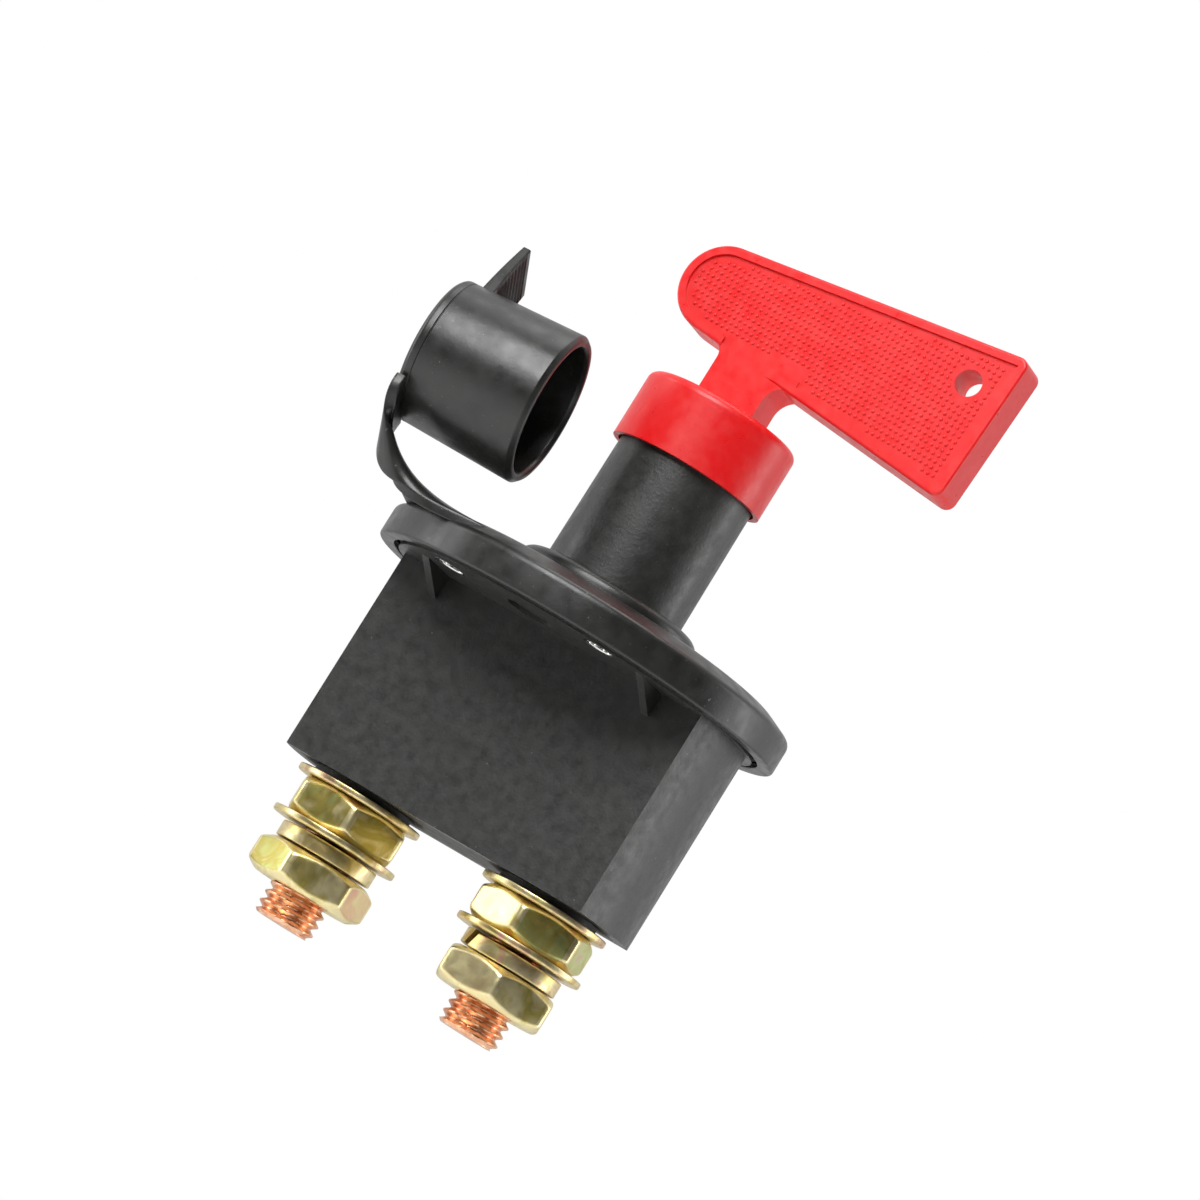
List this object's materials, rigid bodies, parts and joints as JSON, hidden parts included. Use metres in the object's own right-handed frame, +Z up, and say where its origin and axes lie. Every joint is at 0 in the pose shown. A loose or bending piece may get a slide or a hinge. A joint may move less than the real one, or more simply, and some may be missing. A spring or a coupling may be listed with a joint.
{
  "type": "battery isolator switch",
  "caption": "Panel-mount battery isolator switch with removable turning key, rubber boot with tethered neck cap, and two threaded terminal studs.",
  "frame": {"origin": "centre of the four mounting holes in the flange's underside, which is the face that lies on the panel, on the neck's axis", "axes": "+Z up the neck to the key; +X along the line of the two terminal studs, towards the long end of the key's blade; -Y out of the body's front flat"},
  "size_m": [0.0725, 0.0735, 0.1243],
  "materials": {
    "housing_plastic": "matte black moulded phenolic with a fine speckle",
    "base_plastic": "matte dark grey",
    "boot_rubber": "satin moulded rubber",
    "key_plastic": "satin-gloss red moulding",
    "mechanism_plastic": "natural nylon",
    "copper": "bare machined copper",
    "yellow_zinc": "yellow-chromate zinc plate, iridescent",
    "nickel_plate": "bright nickel plate",
    "spring_steel": "bright drawn wire and strip"
  },
  "bodies": {
    "root": {"housing": "housing_plastic", "base_plate": "base_plastic", "mounting_eyelets": "nickel_plate", "boot_cover": "boot_rubber", "boot_strap": "boot_rubber", "return_spring": "spring_steel", "stud_left": "copper", "inner_washer_left": "yellow_zinc", "inner_nut_left": "yellow_zinc", "outer_washer_left": "yellow_zinc", "spring_washer_left": "yellow_zinc", "outer_nut_left": "yellow_zinc", "stud_right": "copper", "inner_washer_right": "yellow_zinc", "inner_nut_right": "yellow_zinc", "outer_washer_right": "yellow_zinc", "spring_washer_right": "yellow_zinc", "outer_nut_right": "yellow_zinc"},
    "rotor": {"cam_rotor": "mechanism_plastic"},
    "key": {"key": "key_plastic"},
    "follower": {"plunger": "mechanism_plastic", "contact_bridge": "copper", "bridge_clip": "spring_steel"},
    "cap": {"neck_cap": "boot_rubber"}
  },
  "joints": [
    {"name": "key_turn", "type": "hinge", "parent": "root", "child": "rotor", "pos_m": [0, 0, 0.018], "axis": [0, 0, 1], "range_deg": [-90, 0]},
    {"name": "key_lift", "type": "slide", "parent": "rotor", "child": "key", "axis": [0, 0, 1], "range_m": [0, 0.045]},
    {"name": "bridge_travel", "type": "slide", "parent": "root", "child": "follower", "axis": [0, 0, -1], "range_m": [0, 0.003], "stiffness_N_per_m": 300, "springref_m": -0.002, "deforming": ["return_spring"]},
    {"name": "cap_swing", "type": "hinge", "parent": "root", "child": "cap", "pos_m": [-0.0285, -0.0335, 0.0085], "axis": [0.53, -0.848, 0], "range_deg": [-5, 40], "stiffness_Nm_per_rad": 0.02, "deforming": ["boot_strap"]}
  ],
  "couplings": [
    {"joint": "key_turn", "follows": "bridge_travel", "rad_per_m": -523.59}
  ]
}
